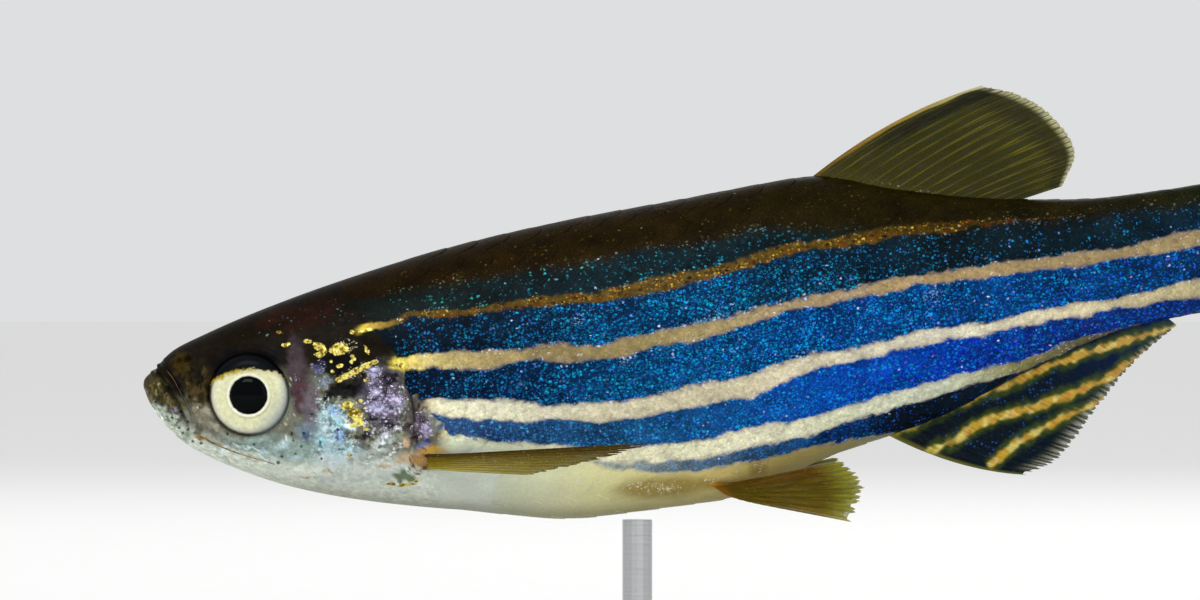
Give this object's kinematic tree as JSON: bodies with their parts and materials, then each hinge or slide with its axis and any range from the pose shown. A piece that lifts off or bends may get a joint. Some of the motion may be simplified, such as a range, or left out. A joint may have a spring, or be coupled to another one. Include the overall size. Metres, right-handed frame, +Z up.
{
  "type": "zebra danio display model",
  "caption": "Life-size still model of a striped zebra danio in a swimming pose, held by a short rod on a flat display base.",
  "frame": {"origin": "centre of the flat underside of the display base", "axes": "+X from the head towards the tail, +Y towards the fish's right side, +Z up"},
  "size_m": [0.0428, 0.016, 0.024],
  "materials": {
    "head_skin": "satin wet-look skin, dark brown crown, pale throat, silvery cheek",
    "jaw_skin": "satin wet-look skin, pale greenish grey",
    "trunk_skin": "satin scaled skin, blue bands between gold and cream bands",
    "tail_skin": "satin scaled skin, blue bands between gold and cream bands",
    "gill_cover_skin": "iridescent silver, lilac and yellow",
    "eye": "clear glossy cornea over a cream iris",
    "barbel_skin": "satin skin, amber brown",
    "dorsal_fin": "thin translucent olive brown membrane on darker rays",
    "striped_fin": "thin translucent membrane with gold and navy bands",
    "amber_fin": "thin translucent ochre membrane on brown rays",
    "base_wood": "dark oiled walnut",
    "rod_steel": "brushed stainless steel"
  },
  "bodies": {
    "root": {"head": "head_skin", "jaw_lower": "jaw_skin", "trunk": "trunk_skin", "tail": "tail_skin", "gill_cover_left": "gill_cover_skin", "gill_cover_right": "gill_cover_skin", "eye_left": "eye", "eye_right": "eye", "barbel_maxillary_left": "barbel_skin", "barbel_maxillary_right": "barbel_skin", "barbel_rostral_left": "barbel_skin", "barbel_rostral_right": "barbel_skin", "fin_dorsal": "dorsal_fin", "fin_anal": "striped_fin", "fin_caudal": "striped_fin", "fin_pectoral_left": "amber_fin", "fin_pectoral_right": "amber_fin", "fin_pelvic_left": "amber_fin", "fin_pelvic_right": "amber_fin", "stand_base": "base_wood", "stand_rod": "rod_steel"}
  },
  "joints": []
}
